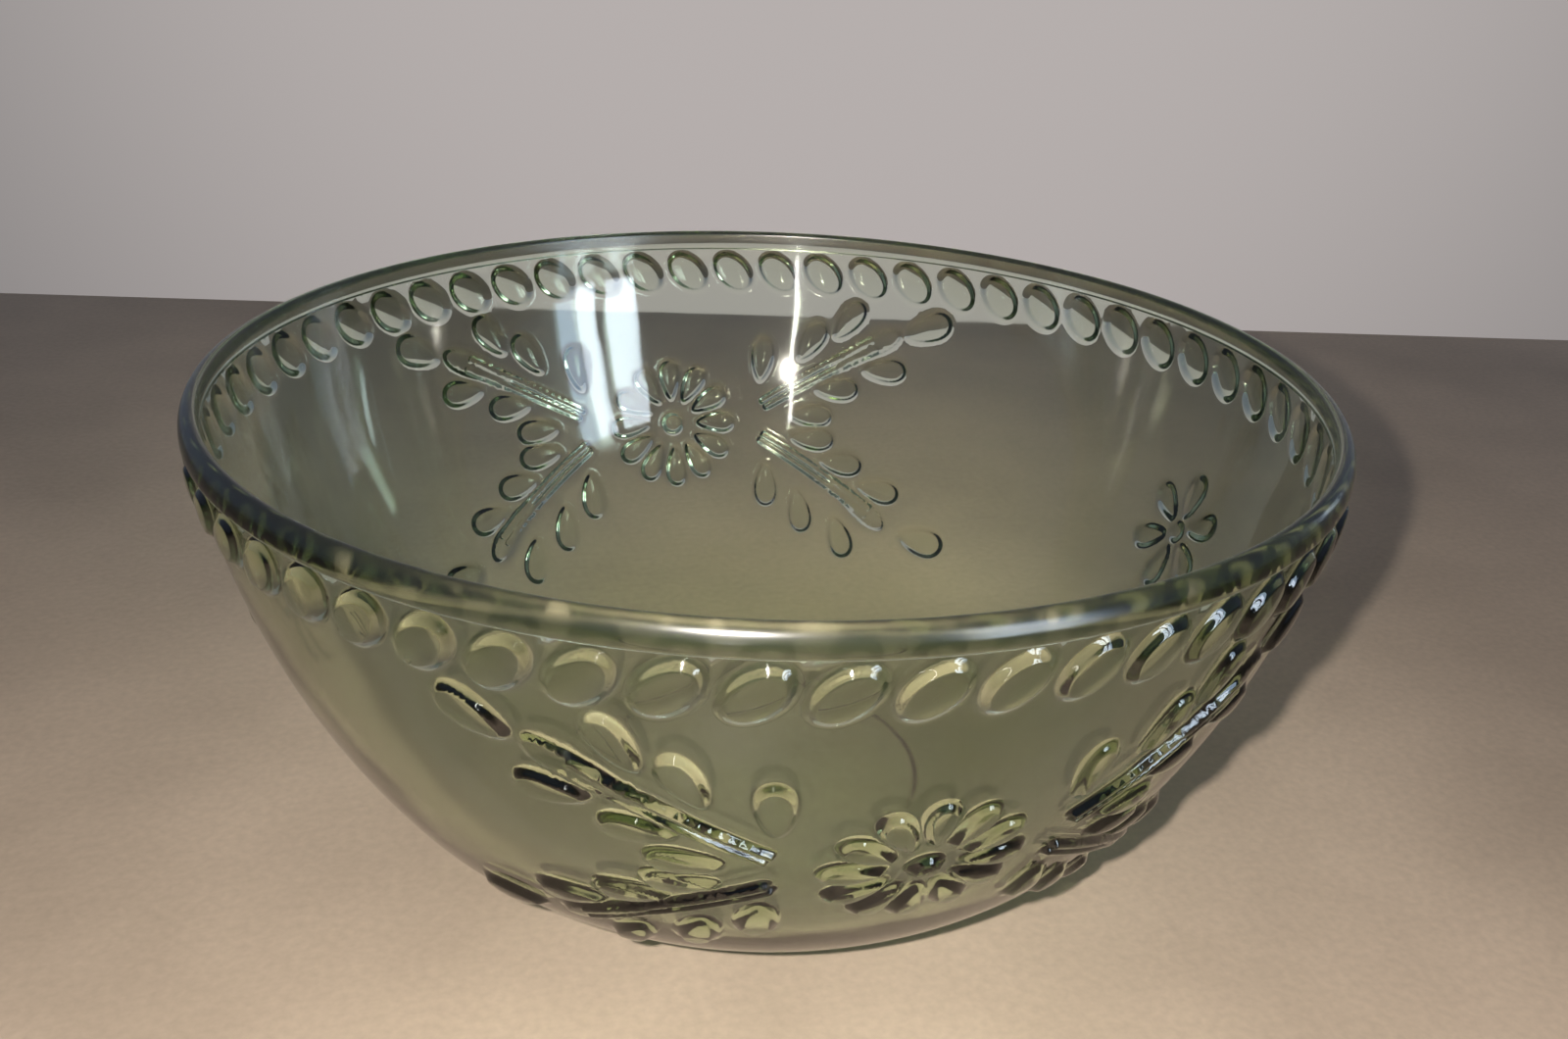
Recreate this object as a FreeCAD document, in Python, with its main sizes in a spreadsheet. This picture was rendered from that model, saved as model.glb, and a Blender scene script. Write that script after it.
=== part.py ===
import FreeCAD, Part
import math
import os

import Sketcher
from FreeCAD import Placement, Rotation, Vector

# A punch bowl of pressed glass, moulded in one piece with its raised pattern.
# Millimetres, +Z up. The origin is the middle of the foot, on the surface it stands on.
# The two big flower sprays face +Y and -Y, and the two single daisies face +X and -X.

doc = FreeCAD.newDocument("punch_bowl")

# ---------------------------------------------------------------- driving sizes

SIZES = (
    ("rim_radius", 130.0, "outside of the rim bead"),
    ("bowl_height", 116.0, "foot to the top of the rim"),
    ("bead_height", 6.0, "rim bead, measured down from the top"),
    ("bead_proud", 1.2, "how far the bead stands out from the wall"),
    ("rim_round", 1.7, "rounding of both top edges of the rim"),
    ("bead_round", 1.0, "rounding of the bead's lower edge"),
    ("rim_wall", 3.4, "wall thickness under the bead"),
    ("base_thickness", 5.0, "floor of the bowl above the foot"),
    ("foot_radius", 50.0, "outer edge of the flat that it stands on"),
    ("foot_land", 7.0, "width of that flat ring"),
    ("foot_recess", 1.2, "hollow inside the ring"),
    ("floor_radius", 44.0, "flat part of the inside floor"),
    ("foot_slope", 6.0, "degrees, outer wall where it leaves the foot"),
    ("turn_slope", 55.5, "degrees, where the lower curve meets the upper one"),
    ("rim_slope", 82.9, "degrees, both walls under the bead"),
    ("oval_count", 56.0, "raised ovals under the rim"),
    ("oval_drop", 13.0, "rim top down to the middle of the ovals"),
    ("oval_length", 14.0, "long axis"),
    ("oval_width", 9.4, "short axis"),
    ("oval_rise", 1.7, "height above the wall"),
    ("oval_lean", 42.0, "degrees, long axis from level"),
    ("flower_height", 57.6, "foot to the middle of a big flower"),
    ("flower_ring", 13.75, "middle of the flower to the middle of a petal"),
    ("petal_length", 12.5, "big flower"),
    ("petal_width", 6.0, "big flower"),
    ("petal_rise", 1.5, "height above the wall"),
    ("button_radius", 3.4, "middle of the big flower"),
    ("button_rise", 1.8, "height above the wall"),
    ("daisy_height", 61.5, "foot to the middle of a single daisy"),
    ("daisy_ring", 10.5, "middle of the daisy to the middle of a petal"),
    ("daisy_petal_length", 12.0, "single daisy"),
    ("daisy_petal_width", 6.0, "single daisy"),
    ("daisy_button_radius", 2.8, "middle of the single daisy"),
    ("leaf_length", 14.6, "side leaf of a spray"),
    ("leaf_width", 7.4, "side leaf of a spray"),
    ("leaf_rise", 1.4, "height above the wall"),
    ("tip_leaf_length", 15.6, "leaf at the end of a spray"),
    ("tip_leaf_width", 8.6, "leaf at the end of a spray"),
    ("stem_radius", 1.3, "round section of one ridge of a stem"),
    ("stem_rise", 1.0, "height of a ridge above the wall"),
    ("stem_root_gap", 2.2, "between the two ridges beside the flower"),
    ("stem_tip_gap", 4.4, "between the two ridges at the outer end"),
)

sizes = doc.addObject("Spreadsheet::Sheet", "sizes")
for row, (alias, value, note) in enumerate(SIZES, start=1):
    sizes.set(f"A{row}", alias)
    sizes.set(f"B{row}", str(value))
    sizes.set(f"C{row}", note)
    sizes.setAlias(f"B{row}", alias)
doc.recompute()


def size(alias):
    return float(sizes.get(alias))


# ------------------------------------------------------- where things are set out

FLOWER_FACINGS = (90.0, 270.0)  # degrees round the bowl from +X
DAISY_FACINGS = (0.0, 180.0)
FLOWER_PETALS = 12
DAISY_PETALS = 6

# The right-hand half of a flower's sprays, in mm from the flower's middle: across is along the
# rim and up is along the wall. tilt is the leaf's long axis in degrees from level.
UPPER_STEM = ((30.0, 6.0), (73.0, 31.0))
UPPER_TIP_LEAF = (84.5, 34.5, 28.0)
UPPER_LEAVES = (
    (30.0, 20.0, 85.0),
    (46.0, 26.5, 60.0),
    (58.5, 34.0, 57.0),
    (44.5, 3.0, 2.0),
    (53.5, 12.0, 5.0),
    (69.5, 19.5, 5.0),
)
LOWER_STEM = ((28.5, -5.0), (66.0, -29.5))
LOWER_TIP_LEAF = (77.5, -31.5, -3.0)
LOWER_LEAVES = (
    (44.5, -4.5, 0.0),
    (53.0, -11.5, -3.0),
    (64.5, -18.5, -6.0),
    (28.0, -20.0, -86.0),
    (38.0, -28.0, -77.0),
    (50.0, -35.0, -64.0),
)


# ------------------------------------------------------------------ wall outlines


class WallCurve:
    """Two tangent arcs in the plane of radius and height, from the foot up to the rim."""

    def __init__(self, start, end, start_slope, turn_slope, end_slope):
        self.start = start
        self.end = end
        self.slopes = [math.radians(s) for s in (start_slope, turn_slope, end_slope)]
        first, turn, last = self.slopes
        lower = (math.sin(turn) - math.sin(first), math.cos(first) - math.cos(turn))
        upper = (math.sin(last) - math.sin(turn), math.cos(turn) - math.cos(last))
        run = end[0] - start[0]
        climb = end[1] - start[1]
        spread = lower[0] * upper[1] - upper[0] * lower[1]
        self.lower_radius = (run * upper[1] - upper[0] * climb) / spread
        self.upper_radius = (lower[0] * climb - run * lower[1]) / spread
        self.lower_centre = self.centre(start, first, self.lower_radius)
        self.turn = (
            self.lower_centre[0] + self.lower_radius * math.sin(turn),
            self.lower_centre[1] - self.lower_radius * math.cos(turn),
        )
        self.upper_centre = self.centre(self.turn, turn, self.upper_radius)

    @staticmethod
    def centre(point, slope, radius):
        return (point[0] - radius * math.sin(slope), point[1] + radius * math.cos(slope))

    def at(self, length):
        """Radius, height and slope at this length along the curve, measured from the turn."""
        centre, radius = self.lower_centre, self.lower_radius
        if length > 0:
            centre, radius = self.upper_centre, self.upper_radius
        slope = self.slopes[1] + length / radius
        return (
            centre[0] + radius * math.sin(slope),
            centre[1] - radius * math.cos(slope),
            slope,
        )

    def length_at(self, height):
        """Length along the curve, from the turn, to the point at this height."""
        centre, radius = self.lower_centre, self.lower_radius
        if height > self.turn[1]:
            centre, radius = self.upper_centre, self.upper_radius
        slope = math.acos((centre[1] - height) / radius)
        return (slope - self.slopes[1]) * radius


rim_slope = math.radians(size("rim_slope"))
wall_top = (
    size("rim_radius") - size("bead_proud"),
    size("bowl_height") - size("bead_height"),
)
inner_top = (
    wall_top[0] - size("rim_wall") * math.sin(rim_slope),
    wall_top[1] + size("rim_wall") * math.cos(rim_slope),
)
outer_wall = WallCurve(
    (size("foot_radius"), 0.0),
    wall_top,
    size("foot_slope"),
    size("turn_slope"),
    size("rim_slope"),
)
inner_wall = WallCurve(
    (size("floor_radius"), size("base_thickness")),
    inner_top,
    0.0,
    size("turn_slope"),
    size("rim_slope"),
)

# -------------------------------------------------------------- the turned shell

body = doc.addObject("PartDesign::Body", "shell")
upright_plane = next(f for f in body.Origin.OriginFeatures if f.Role == "XZ_Plane")
sketch = body.newObject("Sketcher::SketchObject", "section")
sketch.AttachmentSupport = [(upright_plane, "")]
sketch.MapMode = "FlatFace"


def flat(point):
    return Vector(point[0], point[1], 0)


def add_line(start, end, construction=False):
    return sketch.addGeometry(Part.LineSegment(flat(start), flat(end)), construction)


def add_arc(centre, radius, from_angle, to_angle):
    circle = Part.Circle(flat(centre), Vector(0, 0, 1), radius)
    return sketch.addGeometry(Part.ArcOfCircle(circle, from_angle, to_angle), False)


def bind(name, formula, *constraint):
    """Adds a named constraint whose value follows a formula on the sheet."""
    index = sketch.addConstraint(Sketcher.Constraint(*constraint))
    sketch.renameConstraint(index, name)
    sketch.setExpression(f"Constraints.{name}", formula)


def join(first, first_end, second, second_end, kind="Coincident"):
    sketch.addConstraint(Sketcher.Constraint(kind, first, first_end, second, second_end))


START, END, MIDDLE = 1, 2, 3  # which point of a line or arc a constraint takes
AXIS = -2  # the sketch's own upright axis
QUARTER = math.pi / 2


def add_wall(curve, name, slopes):
    """Draws a wall curve's two arcs and holds their slopes by lines to their centres."""
    first, turn, last = (s - QUARTER for s in curve.slopes)
    lower = add_arc(curve.lower_centre, curve.lower_radius, first, turn)
    upper = add_arc(curve.upper_centre, curve.upper_radius, turn, last)
    join(lower, END, upper, START, "Tangent")
    ends = (
        ("foot", lower, START, curve.lower_centre, curve.start, first),
        ("turn", lower, END, curve.lower_centre, curve.turn, turn),
        ("rim", upper, END, curve.upper_centre, curve.end, last),
    )
    for (label, arc, arc_end, centre, point, angle), slope in zip(ends, slopes):
        spoke = add_line(centre, point, construction=True)
        join(spoke, START, arc, MIDDLE)
        join(spoke, END, arc, arc_end)
        bind(f"{name}_{label}_slope", f"({slope} - 90) * 1 deg", "Angle", spoke, angle)
    return lower, upper


def draw_section():
    rim, top = size("rim_radius"), size("bowl_height")
    rounding, lip = size("rim_round"), size("bead_round")
    recess, land = size("foot_recess"), size("foot_radius") - size("foot_land")
    bead_low = wall_top[1]
    leaning = (top - rounding - inner_top[1]) / math.tan(rim_slope)
    mouth = inner_top[0] + leaning

    under = add_line((0, recess), (land - recess, recess))
    chamfer = add_line((land - recess, recess), (land, 0))
    foot = add_line((land, 0), (size("foot_radius"), 0))
    outer_slopes = ("sizes.foot_slope", "sizes.turn_slope", "sizes.rim_slope")
    lower, upper = add_wall(outer_wall, "outer", outer_slopes)
    ledge = add_line(wall_top, (rim - lip, bead_low))
    low_round = add_arc((rim - lip, bead_low + lip), lip, -QUARTER, 0)
    side = add_line((rim, bead_low + lip), (rim, top - rounding))
    outer_round = add_arc((rim - rounding, top - rounding), rounding, 0, QUARTER)
    crown = add_line((rim - rounding, top), (mouth + rounding, top))
    inner_round = add_arc((mouth + rounding, top - rounding), rounding, QUARTER, 2 * QUARTER)
    neck = add_line((mouth, top - rounding), inner_top)
    inner_slopes = ("0", "sizes.turn_slope", "sizes.rim_slope")
    inner_lower, inner_upper = add_wall(inner_wall, "inner", inner_slopes)
    floor = add_line(inner_wall.start, (0, size("base_thickness")))
    middle = add_line((0, size("base_thickness")), (0, recess))

    chain = (
        (under, END, chamfer, START), (chamfer, END, foot, START), (foot, END, lower, START),
        (upper, END, ledge, START), (ledge, END, low_round, START),
        (low_round, END, side, START), (side, END, outer_round, START),
        (outer_round, END, crown, START), (crown, END, inner_round, START, "Tangent"),
        (inner_round, END, neck, START), (neck, END, inner_upper, END),
        (inner_lower, START, floor, START), (floor, END, middle, START),
        (middle, END, under, START),
    )
    for link in chain:
        join(*link)
    for level in (under, foot, ledge, crown, floor):
        sketch.addConstraint(Sketcher.Constraint("Horizontal", level))
    sketch.addConstraint(Sketcher.Constraint("Vertical", side))
    sketch.addConstraint(Sketcher.Constraint("PointOnObject", under, START, AXIS))
    sketch.addConstraint(Sketcher.Constraint("PointOnObject", middle, START, AXIS))

    def across(name, formula, line, line_end, value):
        bind(name, formula, "DistanceX", -1, 1, line, line_end, value)

    def above(name, formula, line, line_end, value):
        bind(name, formula, "DistanceY", -1, 1, line, line_end, value)

    across("land", "sizes.foot_radius - sizes.foot_land", foot, START, land)
    across("foot", "sizes.foot_radius", foot, END, size("foot_radius"))
    across("recess_edge", "sizes.foot_radius - sizes.foot_land - sizes.foot_recess",
           under, END, land - recess)
    above("recess", "sizes.foot_recess", under, END, recess)
    sketch.addConstraint(Sketcher.Constraint("PointOnObject", foot, START, -1))
    across("wall_top_radius", "sizes.rim_radius - sizes.bead_proud", ledge, START, wall_top[0])
    above("wall_top_height", "sizes.bowl_height - sizes.bead_height", ledge, START, bead_low)
    across("rim", "sizes.rim_radius", side, START, rim)
    above("side_low", "sizes.bowl_height - sizes.bead_height + sizes.bead_round",
          side, START, bead_low + lip)
    above("side_high", "sizes.bowl_height - sizes.rim_round", side, END, top - rounding)
    bind("low_rounding", "sizes.bead_round", "Radius", low_round, lip)
    across("ledge_end", "sizes.rim_radius - sizes.bead_round", ledge, END, rim - lip)
    above("height", "sizes.bowl_height", crown, START, top)
    across("crown_start", "sizes.rim_radius - sizes.rim_round", crown, START, rim - rounding)
    bind("outer_rounding", "sizes.rim_round", "Radius", outer_round, rounding)
    above("mouth_height", "sizes.bowl_height - sizes.rim_round", neck, START, top - rounding)
    bind("neck_slope", "(sizes.rim_slope - 180) * 1 deg", "Angle", neck, rim_slope - math.pi)
    bind("inner_rounding", "sizes.rim_round", "Radius", inner_round, rounding)
    across("inner_top_radius",
           "sizes.rim_radius - sizes.bead_proud - sizes.rim_wall * sin(sizes.rim_slope * 1 deg)",
           neck, END, inner_top[0])
    above("inner_top_height",
          "sizes.bowl_height - sizes.bead_height + sizes.rim_wall * cos(sizes.rim_slope * 1 deg)",
          neck, END, inner_top[1])
    across("floor", "sizes.floor_radius", floor, START, size("floor_radius"))
    above("floor_height", "sizes.base_thickness", floor, START, size("base_thickness"))


draw_section()
turned = body.newObject("PartDesign::Revolution", "turned_shell")
turned.Profile = sketch
turned.ReferenceAxis = (sketch, ["V_Axis"])
turned.Angle = 360.0
doc.recompute()
if sketch.solve() != 0:
    raise RuntimeError("the section's constraints can't be met")

# ------------------------------------------------------------- the raised pattern

relief = []


def on_wall(facing, across, length):
    """A point on the outer wall, with the directions along the rim, up the wall and out."""
    radius, height, slope = outer_wall.at(length)
    angle = math.radians(facing) + across / radius
    away = Vector(math.cos(angle), math.sin(angle), 0)
    along = Vector(-math.sin(angle), math.cos(angle), 0)
    upward = away * math.cos(slope) + Vector(0, 0, math.sin(slope))
    outward = away * math.sin(slope) - Vector(0, 0, math.cos(slope))
    return away * radius + Vector(0, 0, height), along, upward, outward


def add_dome(name, facing, across, length, tilt, bindings):
    """An ellipsoid half sunk in the wall. bindings gives its half length, half width and rise."""
    point, along, upward, outward = on_wall(facing, across, length)
    turn = math.radians(tilt)
    long_axis = along * math.cos(turn) + upward * math.sin(turn)
    dome = doc.addObject("Part::Ellipsoid", name)
    for radius, formula in zip(("Radius2", "Radius3", "Radius1"), bindings):
        dome.setExpression(radius, formula)
    short_axis = outward.cross(long_axis)
    dome.Placement = Placement(point, Rotation(long_axis, short_axis, outward, "ZXY"))
    relief.append(dome)


def add_ovals():
    count = round(size("oval_count"))
    middle = outer_wall.length_at(size("bowl_height") - size("oval_drop"))
    shape = ("sizes.oval_length / 2", "sizes.oval_width / 2", "sizes.oval_rise")
    for number in range(count):
        facing = (number + 0.5) * 360 / count
        add_dome(f"oval_{number + 1:02}", facing, 0, middle, size("oval_lean"), shape)


def add_daisy(name, facing, middle, petals, ring, petal_shape, button_shape):
    """Petals round a button. middle is the length along the wall to the button."""
    add_dome(f"{name}_button", facing, 0, middle, 0, button_shape)
    for number in range(petals):
        tilt = 90 + number * 360 / petals
        across = ring * math.cos(math.radians(tilt))
        up = ring * math.sin(math.radians(tilt))
        add_dome(f"{name}_petal_{number + 1:02}", facing, across, middle + up, tilt, petal_shape)


def add_ridge(name, facing, start, end, middle):
    """A round ridge on an arc whose ends run down into the wall."""
    tube, rise = size("stem_radius"), size("stem_rise")
    halfway = ((start[0] + end[0]) / 2, (start[1] + end[1]) / 2)
    sunk = ((start, tube * 1.1), (halfway, tube - rise), (end, tube * 1.1))
    marks = []
    for (across, up), depth in sunk:
        point, _, _, outward = on_wall(facing, across, middle + up)
        marks.append(point - outward * depth)
    circle = Part.Arc(*marks).toShape().Curve
    centre = circle.Center
    to_start = (marks[0] - centre).normalize()
    to_end = (marks[2] - centre).normalize()
    axis = to_start.cross(to_end).normalize()
    ridge = doc.addObject("Part::Torus", name)
    ridge.setExpression("Radius2", "sizes.stem_radius")
    ridge.Radius1 = circle.Radius
    ridge.Angle3 = math.degrees(to_start.getAngle(to_end))
    ridge.Placement = Placement(centre, Rotation(to_start, axis.cross(to_start), axis, "ZXY"))
    relief.append(ridge)


def add_stem(name, facing, side, ends, middle):
    """Two ridges side by side, further apart at the outer end."""
    (root_across, root_up), (tip_across, tip_up) = ends
    reach = math.hypot(tip_across - root_across, tip_up - root_up)
    normal = ((root_up - tip_up) / reach, (tip_across - root_across) / reach)
    for label, way in (("upper", 1), ("lower", -1)):
        at_root = way * size("stem_root_gap") / 2
        at_tip = way * size("stem_tip_gap") / 2
        start = (side * (root_across + normal[0] * at_root), root_up + normal[1] * at_root)
        end = (side * (tip_across + normal[0] * at_tip), tip_up + normal[1] * at_tip)
        add_ridge(f"{name}_{label}_ridge", facing, start, end, middle)


def add_spray(name, facing, side, stem, tip_leaf, leaves, middle):
    """One stem with its leaves. side is 1 for the right-hand half and -1 for its mirror."""
    add_stem(name, facing, side, stem, middle)
    tip_shape = ("sizes.tip_leaf_length / 2", "sizes.tip_leaf_width / 2", "sizes.leaf_rise")
    leaf_shape = ("sizes.leaf_length / 2", "sizes.leaf_width / 2", "sizes.leaf_rise")
    across, up, tilt = tip_leaf
    add_dome(f"{name}_tip_leaf", facing, side * across, middle + up, side * tilt, tip_shape)
    for number, (across, up, tilt) in enumerate(leaves, start=1):
        label = f"{name}_leaf_{number}"
        add_dome(label, facing, side * across, middle + up, side * tilt, leaf_shape)


def add_big_flower(name, facing):
    middle = outer_wall.length_at(size("flower_height"))
    petal = ("sizes.petal_length / 2", "sizes.petal_width / 2", "sizes.petal_rise")
    button = ("sizes.button_radius", "sizes.button_radius", "sizes.button_rise")
    add_daisy(name, facing, middle, FLOWER_PETALS, size("flower_ring"), petal, button)
    for hand, side in (("right", 1), ("left", -1)):
        upper, lower = f"{name}_upper_{hand}", f"{name}_lower_{hand}"
        add_spray(upper, facing, side, UPPER_STEM, UPPER_TIP_LEAF, UPPER_LEAVES, middle)
        add_spray(lower, facing, side, LOWER_STEM, LOWER_TIP_LEAF, LOWER_LEAVES, middle)


def add_single_daisy(name, facing):
    middle = outer_wall.length_at(size("daisy_height"))
    petal = ("sizes.daisy_petal_length / 2", "sizes.daisy_petal_width / 2", "sizes.petal_rise")
    button = ("sizes.daisy_button_radius", "sizes.daisy_button_radius", "sizes.button_rise")
    add_daisy(name, facing, middle, DAISY_PETALS, size("daisy_ring"), petal, button)


add_ovals()
for number, facing in enumerate(FLOWER_FACINGS, start=1):
    add_big_flower(f"flower_{number}", facing)
for number, facing in enumerate(DAISY_FACINGS, start=1):
    add_single_daisy(f"daisy_{number}", facing)

# ------------------------------------------------ the moulded bowl, as one solid

bowl = doc.addObject("Part::MultiFuse", "bowl")
bowl.Label = "bowl"
bowl.Shapes = [body] + relief
doc.recompute()

faults = [o.Name for o in doc.Objects if "Invalid" in o.State or "Error" in o.State]
if faults:
    raise RuntimeError("failed objects: " + ", ".join(faults))
shape = bowl.Shape
if shape.isNull() or not shape.isValid():
    raise RuntimeError("the bowl's shape is not valid")
if len(shape.Solids) != 1:
    raise RuntimeError(f"the bowl came out as {len(shape.Solids)} solids")

os.makedirs("parts", exist_ok=True)
shape.exportStep(f"parts/{bowl.Label}.step")
box = shape.BoundBox
print(f"bowl: {box.XLength:.2f} x {box.YLength:.2f} x {box.ZLength:.2f} mm")
print(f"glass {shape.Volume / 1000:.1f} cm3, shell alone {body.Shape.Volume / 1000:.1f} cm3")
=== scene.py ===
import math

import bpy
import numpy as np
from mathutils import Matrix, Vector
from mathutils.geometry import delaunay_2d_cdt


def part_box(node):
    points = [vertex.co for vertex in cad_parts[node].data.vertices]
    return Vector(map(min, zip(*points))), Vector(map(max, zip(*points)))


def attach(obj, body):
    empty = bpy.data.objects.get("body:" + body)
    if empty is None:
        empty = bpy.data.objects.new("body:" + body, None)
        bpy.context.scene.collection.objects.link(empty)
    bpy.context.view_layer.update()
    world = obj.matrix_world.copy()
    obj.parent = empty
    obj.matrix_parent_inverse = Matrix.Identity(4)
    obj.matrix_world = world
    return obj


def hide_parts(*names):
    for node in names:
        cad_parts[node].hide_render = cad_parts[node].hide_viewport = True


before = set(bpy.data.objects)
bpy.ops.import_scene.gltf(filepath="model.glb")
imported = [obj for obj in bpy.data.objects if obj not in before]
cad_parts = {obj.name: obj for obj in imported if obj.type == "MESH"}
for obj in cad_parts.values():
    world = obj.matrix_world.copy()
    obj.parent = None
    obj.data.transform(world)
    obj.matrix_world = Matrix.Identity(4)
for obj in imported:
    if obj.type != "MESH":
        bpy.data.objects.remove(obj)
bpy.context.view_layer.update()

# A punch bowl of pale green pressed glass. Lengths in this file are millimetres, and each
# finished mesh is scaled to metres once, at the end of its making.
MM = 0.001

# ------------------------------------------------------------------ sizes of the bowl

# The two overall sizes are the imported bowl's own, to a tenth of a millimetre.
BOX_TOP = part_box("bowl")[1]
RIM_RADIUS = round(BOX_TOP.x / MM, 1)
BOWL_HEIGHT = round(BOX_TOP.z / MM, 1)
BEAD_HEIGHT = 6.0
BEAD_PROUD = 1.2
RIM_ROUND = 1.2  # of the inner edge, where the outer side is a quarter of an ellipse
BEAD_ROUND = 1.0
RIM_WALL = 3.4
BASE_THICKNESS = 5.0
FOOT_RADIUS = 50.0
FOOT_LAND = 7.0
FOOT_RECESS = 1.2
FLOOR_RADIUS = 44.0
FOOT_SLOPE = math.radians(6.0)
TURN_SLOPE = math.radians(55.5)
RIM_SLOPE = math.radians(82.9)

COLUMNS = 336  # faces round the bowl, six for each oval
OVALS = 56
SEAM = 4 * 2 * math.pi / OVALS  # the halves meet on plain wall, between two ovals
OVAL_DROP = 13.0
OVAL_SHAPE = (14.2, 9.6, 2.0)  # length, width and rise above the wall
OVAL_LEAN = math.radians(42.0)
FLOWER_HEIGHT = 57.6
FLOWER_PETALS = 12
FLOWER_RING = 13.75
PETAL_SHAPE = (12.5, 6.4, 1.9)
BUTTON_SHAPE = (6.8, 6.8, 2.1)
DAISY_HEIGHT = 61.5
DAISY_PETALS = 6
DAISY_RING = 10.5
DAISY_PETAL_SHAPE = (12.0, 6.4, 2.1)
DAISY_BUTTON_SHAPE = (5.6, 5.6, 1.8)
LEAF_SHAPE = (14.2, 7.4, 1.75)
TIP_LEAF_SHAPE = (15.2, 8.6, 1.8)
STEM_RISE = 1.5
STEM_END_SHAPE = (25.0, 7.0, 1.5)
STEM_WIDTHS = (2.2, 2.6)  # of one ridge, at the flower and at the outer end
STEM_GAPS = (2.1, 2.9)  # between the ridges at the flower and at the outer end
RIDGE_SHARE = 0.84  # of the stem's length; the rest is its round outer end

# The right-hand half of a flower's sprays, in mm from the flower's middle: across is along the
# rim and up is along the wall. The third number is the leaf's tilt in degrees.
UPPER_STEM = ((30.0, 6.0), (73.0, 31.0))
UPPER_TIP_LEAF = (84.5, 34.5, 28.0)
UPPER_LEAVES = (
    (30.0, 20.0, 85.0),
    (46.0, 26.5, 60.0),
    (58.5, 34.0, 57.0),
    (44.5, 3.0, 2.0),
    (53.5, 12.0, 5.0),
    (69.5, 19.5, 5.0),
)
LOWER_STEM = ((28.5, -5.0), (66.0, -29.5))
LOWER_TIP_LEAF = (77.5, -31.5, -3.0)
LOWER_LEAVES = (
    (44.5, -4.5, 0.0),
    (53.0, -11.5, -3.0),
    (64.5, -18.5, -6.0),
    (28.0, -20.0, -86.0),
    (38.0, -28.0, -77.0),
    (50.0, -35.0, -64.0),
)


# ----------------------------------------------------------------- outlines of the walls


class WallCurve:
    """Two tangent arcs in the plane of radius and height, from the foot up to the rim."""

    def __init__(self, start, end, start_slope):
        self.slopes = (start_slope, TURN_SLOPE, RIM_SLOPE)
        first, turn, last = self.slopes
        lower = (math.sin(turn) - math.sin(first), math.cos(first) - math.cos(turn))
        upper = (math.sin(last) - math.sin(turn), math.cos(turn) - math.cos(last))
        run = end[0] - start[0]
        climb = end[1] - start[1]
        spread = lower[0] * upper[1] - upper[0] * lower[1]
        self.lower_radius = (run * upper[1] - upper[0] * climb) / spread
        self.upper_radius = (lower[0] * climb - run * lower[1]) / spread
        self.lower_centre = self.centre(start, first, self.lower_radius)
        turn_point = (
            self.lower_centre[0] + self.lower_radius * math.sin(turn),
            self.lower_centre[1] - self.lower_radius * math.cos(turn),
        )
        self.turn_height = turn_point[1]
        self.upper_centre = self.centre(turn_point, turn, self.upper_radius)

    @staticmethod
    def centre(point, slope, radius):
        return (point[0] - radius * math.sin(slope), point[1] + radius * math.cos(slope))

    def at(self, length):
        """Radius, height and slope at this length along the curve, measured from the turn."""
        centre = self.upper_centre if length > 0 else self.lower_centre
        radius = self.upper_radius if length > 0 else self.lower_radius
        slope = self.slopes[1] + length / radius
        return (
            centre[0] + radius * math.sin(slope),
            centre[1] - radius * math.cos(slope),
            slope,
        )

    def length_at(self, height):
        """Length along the curve, from the turn, to the point at this height."""
        high = height > self.turn_height
        centre = self.upper_centre if high else self.lower_centre
        radius = self.upper_radius if high else self.lower_radius
        slope = math.acos((centre[1] - height) / radius)
        return (slope - self.slopes[1]) * radius


WALL_TOP = (RIM_RADIUS - BEAD_PROUD, BOWL_HEIGHT - BEAD_HEIGHT)
INNER_TOP = (
    WALL_TOP[0] - RIM_WALL * math.sin(RIM_SLOPE),
    WALL_TOP[1] + RIM_WALL * math.cos(RIM_SLOPE),
)
OUTER = WallCurve((FOOT_RADIUS, 0.0), WALL_TOP, FOOT_SLOPE)
INNER = WallCurve((FLOOR_RADIUS, BASE_THICKNESS), INNER_TOP, 0.0)

PATTERN_START = 15.0  # height where the pattern's sheet starts, on plain wall
PATTERN_LOW = OUTER.length_at(PATTERN_START)
PATTERN_HIGH = OUTER.length_at(WALL_TOP[1])


class Unroll:
    """Turns lengths along the outer wall into an unrolled height that keeps shapes, and back.

    On the unrolled sheet u is the angle round the bowl and v the unrolled height, both in
    radians, so a small shape keeps its proportions when both are multiplied by the radius.
    """

    def __init__(self):
        self.lengths = np.linspace(PATTERN_LOW - 1, PATTERN_HIGH + 1, 4000)
        radii = np.array([OUTER.at(s)[0] for s in self.lengths])
        steps = np.diff(self.lengths) * 2 / (radii[1:] + radii[:-1])
        self.heights = np.concatenate(([0.0], np.cumsum(steps)))

    def height(self, length):
        return np.interp(length, self.lengths, self.heights)

    def length(self, height):
        return np.interp(height, self.heights, self.lengths)


UNROLL = Unroll()

# ------------------------------------------------------------------ the raised pattern

INNER_RINGS = (0.55,)  # shares of the innermost edge ring
EDGE_RINGS = (-1.6, -1.15, -0.75, -0.4, -0.05, 0.3, 0.65, 1.05, 1.7)  # mm past the outline
EDGE_INSIDE = 1.6  # the rounded edge starts this far inside the outline
EDGE_OUTSIDE = 1.0  # and its steep part ends this far beyond it
SKIRT_END = 1.7  # a low skirt goes on to here
SKIRT_SHARE = 0.08  # of the rise
CROWN = 0.32  # share of the rise that a dome loses from its middle to its outline
BLEND = 3  # power of the sum that lets neighbouring shapes run into each other


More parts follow.
